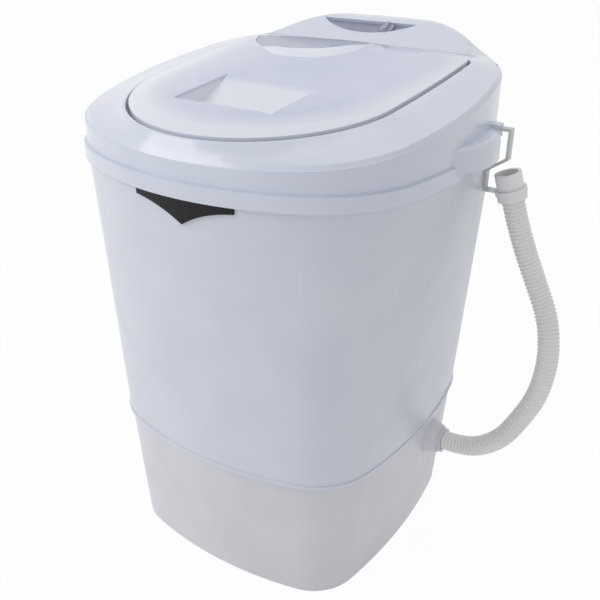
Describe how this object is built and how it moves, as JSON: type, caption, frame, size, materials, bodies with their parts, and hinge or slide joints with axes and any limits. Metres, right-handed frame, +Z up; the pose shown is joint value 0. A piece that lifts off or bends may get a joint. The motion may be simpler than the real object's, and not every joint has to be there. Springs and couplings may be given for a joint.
{
  "type": "mini washing machine",
  "caption": "Single-tub mini washing machine with a tapered rounded-square case, a tilted hinged lid, a raised timer console and a ribbed drain hose hung up at its side.",
  "frame": {"origin": "on the floor under the middle of the case", "axes": "+Z up; the front with the badge place faces -Y; the drain hose is on the +X side"},
  "size_m": [0.4706, 0.3758, 0.5281],
  "materials": {
    "case_plastic": "satin white",
    "base_plastic": "satin white",
    "cover_plastic": "glossy white",
    "lid_plastic": "milky translucent",
    "badge_plastic": "glossy dark grey",
    "panel_plastic": "glossy lilac grey",
    "knob_plastic": "glossy white",
    "dark_plastic": "matte",
    "tub_plastic": "smooth",
    "pulsator_plastic": "smooth blue",
    "pulley_plastic": "matte",
    "hose_plastic": "ribbed grey",
    "cuff_plastic": "smooth grey",
    "capacitor_plastic": "matte",
    "motor_paint": "satin",
    "housing_alloy": "cast",
    "steel": "plain",
    "rubber": "matte"
  },
  "bodies": {
    "machine": {"badge": "badge_plastic", "base_shell": "base_plastic", "bearing_housing": "housing_alloy", "body_shell": "case_plastic", "bottom_plate": "base_plastic", "capacitor": "capacitor_plastic", "capacitor_clip": "dark_plastic", "control_panel": "panel_plastic", "cord_gland": "rubber", "drain_elbow": "dark_plastic", "drain_filter": "tub_plastic", "drain_hose": "hose_plastic", "drive_belt": "rubber", "foot_back_left": "rubber", "foot_back_right": "rubber", "foot_front_left": "rubber", "foot_front_right": "rubber", "hose_clip": "cuff_plastic", "hose_collar": "base_plastic", "hose_cuff": "cuff_plastic", "hose_hanger": "cover_plastic", "housing_bolts": "steel", "lower_bearing": "steel", "motor": "motor_paint", "motor_bolts": "steel", "motor_bushes": "rubber", "plate_screws": "steel", "shaft_seal": "rubber", "timer_case": "dark_plastic", "top_cover": "cover_plastic", "upper_bearing": "steel", "wash_tub": "tub_plastic"},
    "lid_set": {"lid": "lid_plastic", "lid_hinge_pins": "steel"},
    "timer_set": {"timer_knob": "knob_plastic", "timer_shaft": "steel"},
    "agitator_set": {"pulsator": "pulsator_plastic", "pulsator_screw": "steel", "drive_shaft": "steel", "drive_pulley": "pulley_plastic"},
    "rotor_set": {"motor_shaft": "steel", "motor_pulley": "housing_alloy"}
  },
  "joints": [
    {"name": "lid_hinge", "type": "hinge", "parent": "machine", "child": "lid_set", "pos_m": [0, 0.09689, 0.50016], "axis": [-1, 0, 0], "range_deg": [0, 95]},
    {"name": "timer_turn", "type": "hinge", "parent": "machine", "child": "timer_set", "pos_m": [0.013, 0.15599, 0.52043], "axis": [0, 0.4305, -0.9026], "range_deg": [0, 300]},
    {"name": "pulsator_spin", "type": "hinge", "parent": "machine", "child": "agitator_set", "pos_m": [0, -0.012, 0.15], "axis": [0, 0, 1], "continuous": true},
    {"name": "motor_spin", "type": "hinge", "parent": "machine", "child": "rotor_set", "pos_m": [0, 0.104, 0.09], "axis": [0, 0, 1], "continuous": true}
  ],
  "couplings": [
    {"joint": "motor_spin", "follows": "pulsator_spin", "ratio": 3.5}
  ]
}
